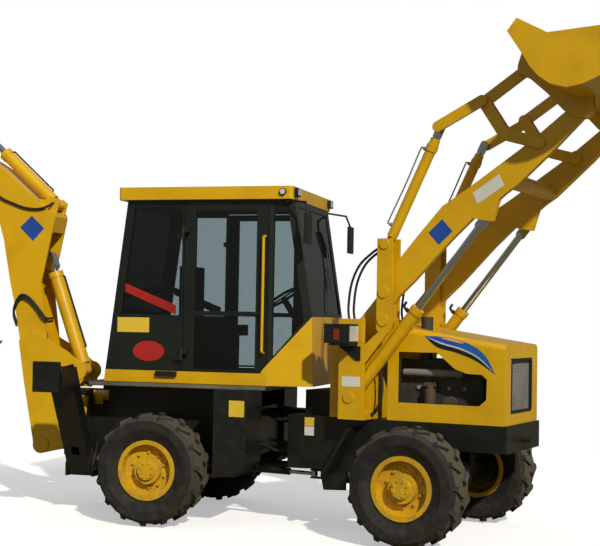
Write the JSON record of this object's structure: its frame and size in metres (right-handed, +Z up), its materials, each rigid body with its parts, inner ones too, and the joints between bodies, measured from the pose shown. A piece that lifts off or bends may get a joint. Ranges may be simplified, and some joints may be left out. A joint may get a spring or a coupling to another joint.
{
  "type": "articulated backhoe loader",
  "caption": "Compact articulated backhoe loader with raised front bucket, closed cab, side-folding stabilisers and a folded rear digging arm.",
  "frame": {"origin": "on the ground, under the pin that joins the front and rear frames", "axes": "+X forward along the rear frame, +Y to the machine's left, +Z up; the front frame is turned 12.3 degrees to the right about the pin"},
  "size_m": [8.2222, 3.1439, 4.494],
  "materials": {
    "yellow_paint": "gloss",
    "dark_paint": "satin",
    "tyre": "matte",
    "glass": "clear",
    "rod_chrome": "polished",
    "grille": "satin",
    "lamp_housing": "matte",
    "engine_iron": "matte",
    "seat_fabric": "matte"
  },
  "bodies": {
    "rear": {"rear_frame": "dark_paint", "side_tanks": "dark_paint", "rear_axle": "dark_paint", "rear_cylinders": "yellow_paint", "cab_glass": "glass", "cab_cowl": "yellow_paint", "cab_frame": "dark_paint", "cab_roof": "yellow_paint", "roof_fittings": "dark_paint", "seat": "seat_fabric", "console": "dark_paint"},
    "front": {"front_frame": "dark_paint", "front_axle": "dark_paint", "towers": "yellow_paint", "headlamps": "lamp_housing", "hood": "yellow_paint", "grille": "grille", "engine": "engine_iron"},
    "wheel_front_right": {"tyre_front_right": "tyre", "wheel_front_right": "yellow_paint"},
    "wheel_front_left": {"tyre_front_left": "tyre", "wheel_front_left": "yellow_paint"},
    "wheel_rear_right": {"tyre_rear_right": "tyre", "wheel_rear_right": "yellow_paint"},
    "wheel_rear_left": {"tyre_rear_left": "tyre", "wheel_rear_left": "yellow_paint"},
    "door_right": {"door_right": "dark_paint", "door_glass_right": "glass"},
    "door_left": {"door_left": "dark_paint", "door_glass_left": "glass"},
    "loader_arms": {"loader_arms": "yellow_paint"},
    "loader_bucket": {"loader_bucket": "yellow_paint"},
    "loader_rockers": {"loader_rockers": "yellow_paint"},
    "loader_levers": {"loader_levers": "yellow_paint"},
    "lift_barrels": {"lift_barrels": "yellow_paint"},
    "lift_rods": {"lift_rods": "rod_chrome"},
    "tilt_barrels": {"tilt_barrels": "yellow_paint"},
    "tilt_rods": {"tilt_rods": "rod_chrome"},
    "steer_barrel_right": {"steer_barrel_right": "dark_paint"},
    "steer_barrel_left": {"steer_barrel_left": "dark_paint"},
    "steer_rod_right": {"steer_rod_right": "rod_chrome"},
    "steer_rod_left": {"steer_rod_left": "rod_chrome"},
    "stabiliser_right": {"stabiliser_right": "dark_paint"},
    "stabiliser_left": {"stabiliser_left": "dark_paint"},
    "stabiliser_rod_right": {"stabiliser_rod_right": "rod_chrome"},
    "stabiliser_rod_left": {"stabiliser_rod_left": "rod_chrome"},
    "swing_post": {"swing_post": "yellow_paint"},
    "boom": {"boom": "yellow_paint", "crowd_barrel": "yellow_paint"},
    "boom_barrel": {"boom_barrel": "yellow_paint"},
    "boom_rod": {"boom_rod": "rod_chrome"},
    "dipper": {"dipper": "yellow_paint", "hoe_barrel": "yellow_paint"},
    "crowd_rod": {"crowd_rod": "rod_chrome"},
    "hoe_rod": {"hoe_rod": "rod_chrome"},
    "hoe_tippers": {"hoe_tippers": "yellow_paint"},
    "hoe_link": {"hoe_link": "yellow_paint"},
    "hoe_bucket": {"hoe_bucket": "yellow_paint"}
  },
  "joints": [
    {"name": "articulation", "type": "hinge", "parent": "rear", "child": "front", "pos_m": [0, 0, 0.8], "axis": [0, 0, 1], "range_deg": [-22.7, 47.3]},
    {"name": "wheel_front_right_spin", "type": "hinge", "parent": "front", "child": "wheel_front_right", "pos_m": [1.46179, -1.27569, 0.53], "axis": [0.213, 0.977, 0], "continuous": true},
    {"name": "wheel_rear_right_spin", "type": "hinge", "parent": "rear", "child": "wheel_rear_right", "pos_m": [-1.05, -0.935, 0.53], "axis": [0, 1, 0], "continuous": true},
    {"name": "wheel_front_left_spin", "type": "hinge", "parent": "front", "child": "wheel_front_left", "pos_m": [1.86016, 0.55139, 0.53], "axis": [0.213, 0.977, 0], "continuous": true},
    {"name": "wheel_rear_left_spin", "type": "hinge", "parent": "rear", "child": "wheel_rear_left", "pos_m": [-1.05, 0.935, 0.53], "axis": [0, 1, 0], "continuous": true},
    {"name": "door_right_swing", "type": "hinge", "parent": "rear", "child": "door_right", "pos_m": [-0.88, -0.71, 1.7], "axis": [0, 0, -1], "range_deg": [0, 150]},
    {"name": "door_left_swing", "type": "hinge", "parent": "rear", "child": "door_left", "pos_m": [-0.88, 0.71, 1.7], "axis": [0, 0, 1], "range_deg": [0, 150]},
    {"name": "arms_lift", "type": "hinge", "parent": "front", "child": "loader_arms", "pos_m": [1.28677, -0.28056, 1.969], "axis": [-0.213, -0.977, 0], "range_deg": [-87.7, 3]},
    {"name": "bucket_tilt", "type": "hinge", "parent": "loader_arms", "child": "loader_bucket", "pos_m": [3.03861, -0.66253, 3.79], "axis": [0.213, 0.977, 0], "range_deg": [-48, 85]},
    {"name": "rocker_swing", "type": "hinge", "parent": "loader_arms", "child": "loader_rockers", "pos_m": [2.67417, -0.58306, 3.517], "axis": [0.213, 0.977, 0], "range_deg": [-49, 86.8]},
    {"name": "lever_swing", "type": "hinge", "parent": "loader_rockers", "child": "loader_levers", "pos_m": [2.1749, -0.47421, 3.909], "axis": [0.213, 0.977, 0], "range_deg": [-100.4, 56.7]},
    {"name": "lift_barrel_swing", "type": "hinge", "parent": "front", "child": "lift_barrels", "pos_m": [0.96239, -0.20983, 1.262], "axis": [-0.213, -0.977, 0], "range_deg": [-60.8, 2.1]},
    {"name": "lift_rod_slide", "type": "slide", "parent": "lift_barrels", "child": "lift_rods", "axis": [0.6007, -0.131, 0.7887], "range_m": [-0.763, 0.027]},
    {"name": "tilt_barrel_swing", "type": "hinge", "parent": "front", "child": "tilt_barrels", "pos_m": [1.29165, -0.28163, 2.66], "axis": [-0.213, -0.977, 0], "range_deg": [-101.9, 3.5]},
    {"name": "tilt_rod_slide", "type": "slide", "parent": "tilt_barrels", "child": "tilt_rods", "axis": [0.4186, -0.0913, 0.9036], "range_m": [-0.0185, 0.536]},
    {"name": "steer_barrel_right_swing", "type": "hinge", "parent": "rear", "child": "steer_barrel_right", "pos_m": [-0.33, -0.23, 0.5], "axis": [0, 0, 1], "range_deg": [-14.7, 30.5]},
    {"name": "steer_rod_right_slide", "type": "slide", "parent": "steer_barrel_right", "child": "steer_rod_right", "axis": [0.9661, -0.2581, 0], "range_m": [-0.1046, 0.2178]},
    {"name": "stabiliser_right_swing", "type": "hinge", "parent": "rear", "child": "stabiliser_right", "pos_m": [-1.99, -0.47, 0.43], "axis": [1, 0, 0], "range_deg": [0, 85]},
    {"name": "stabiliser_rod_right_slide", "type": "slide", "parent": "rear", "child": "stabiliser_rod_right", "axis": [0, -0.305, -0.9523], "range_m": [0, 0.406]},
    {"name": "steer_barrel_left_swing", "type": "hinge", "parent": "rear", "child": "steer_barrel_left", "pos_m": [-0.33, 0.23, 0.5], "axis": [0, 0, 1], "range_deg": [-14.7, 30.5]},
    {"name": "steer_rod_left_slide", "type": "slide", "parent": "steer_barrel_left", "child": "steer_rod_left", "axis": [0.9999, -0.0113, 0], "range_m": [-0.2178, 0.1046]},
    {"name": "stabiliser_left_swing", "type": "hinge", "parent": "rear", "child": "stabiliser_left", "pos_m": [-1.99, 0.47, 0.43], "axis": [-1, 0, 0], "range_deg": [0, 85]},
    {"name": "stabiliser_rod_left_slide", "type": "slide", "parent": "rear", "child": "stabiliser_rod_left", "axis": [0, 0.305, -0.9523], "range_m": [0, 0.406]},
    {"name": "backhoe_swing", "type": "hinge", "parent": "rear", "child": "swing_post", "pos_m": [-2.33, 0, 0.85], "axis": [0, 0, 1], "range_deg": [-85, 85]},
    {"name": "boom_lift", "type": "hinge", "parent": "swing_post", "child": "boom", "pos_m": [-2.6, 0, 0.622], "axis": [0, -1, 0], "range_deg": [0, 60]},
    {"name": "boom_barrel_swing", "type": "hinge", "parent": "swing_post", "child": "boom_barrel", "pos_m": [-2.205, 0, 1.392], "axis": [0, -1, 0], "range_deg": [0, 65.3]},
    {"name": "boom_rod_slide", "type": "slide", "parent": "boom_barrel", "child": "boom_rod", "axis": [-0.3413, 0, 0.94], "range_m": [0, 0.854]},
    {"name": "dipper_crowd", "type": "hinge", "parent": "boom", "child": "dipper", "pos_m": [-3.668, 0, 3.726], "axis": [0, 1, 0], "range_deg": [-12, 70]},
    {"name": "crowd_rod_slide", "type": "slide", "parent": "boom", "child": "crowd_rod", "axis": [-0.7457, 0, 0.6662], "range_m": [-0.385, 0.067]},
    {"name": "hoe_bucket_curl", "type": "hinge", "parent": "dipper", "child": "hoe_bucket", "pos_m": [-3.92847, 0, 2.24879], "axis": [0, 1, 0], "range_deg": [0, 110]},
    {"name": "hoe_tipper_swing", "type": "hinge", "parent": "dipper", "child": "hoe_tippers", "pos_m": [-3.88332, 0, 2.50484], "axis": [0, 1, 0], "range_deg": [0, 84.5]},
    {"name": "hoe_link_swing", "type": "hinge", "parent": "hoe_tippers", "child": "hoe_link", "pos_m": [-4.1105, 0, 2.37839], "axis": [0, 1, 0], "range_deg": [-80.5, 0]},
    {"name": "hoe_rod_slide", "type": "slide", "parent": "dipper", "child": "hoe_rod", "axis": [-0.1709, 0, -0.9853], "range_m": [-0.35, 0]}
  ],
  "couplings": [
    {"joint": "rocker_swing", "follows": "bucket_tilt", "ratio": 1.02},
    {"joint": "lever_swing", "follows": "bucket_tilt", "ratio": -1.18},
    {"joint": "lift_barrel_swing", "follows": "arms_lift", "ratio": 0.693},
    {"joint": "lift_rod_slide", "follows": "arms_lift", "m_per_rad": 0.49783},
    {"joint": "tilt_barrel_swing", "follows": "arms_lift", "ratio": 1.161},
    {"joint": "tilt_rod_slide", "follows": "arms_lift", "m_per_rad": -0.34952},
    {"joint": "steer_barrel_right_swing", "follows": "articulation", "ratio": 0.643},
    {"joint": "steer_rod_right_slide", "follows": "articulation", "m_per_rad": 0.26356},
    {"joint": "stabiliser_rod_right_slide", "follows": "stabiliser_right_swing", "m_per_rad": 0.273},
    {"joint": "steer_barrel_left_swing", "follows": "articulation", "ratio": 0.643},
    {"joint": "steer_rod_left_slide", "follows": "articulation", "m_per_rad": -0.26356},
    {"joint": "stabiliser_rod_left_slide", "follows": "stabiliser_left_swing", "m_per_rad": 0.273},
    {"joint": "boom_barrel_swing", "follows": "boom_lift", "ratio": 1.087},
    {"joint": "boom_rod_slide", "follows": "boom_lift", "m_per_rad": 0.81456},
    {"joint": "crowd_rod_slide", "follows": "dipper_crowd", "m_per_rad": -0.31431},
    {"joint": "hoe_tipper_swing", "follows": "hoe_bucket_curl", "ratio": 0.767},
    {"joint": "hoe_link_swing", "follows": "hoe_bucket_curl", "ratio": -0.731},
    {"joint": "hoe_rod_slide", "follows": "hoe_bucket_curl", "m_per_rad": -0.18178}
  ]
}
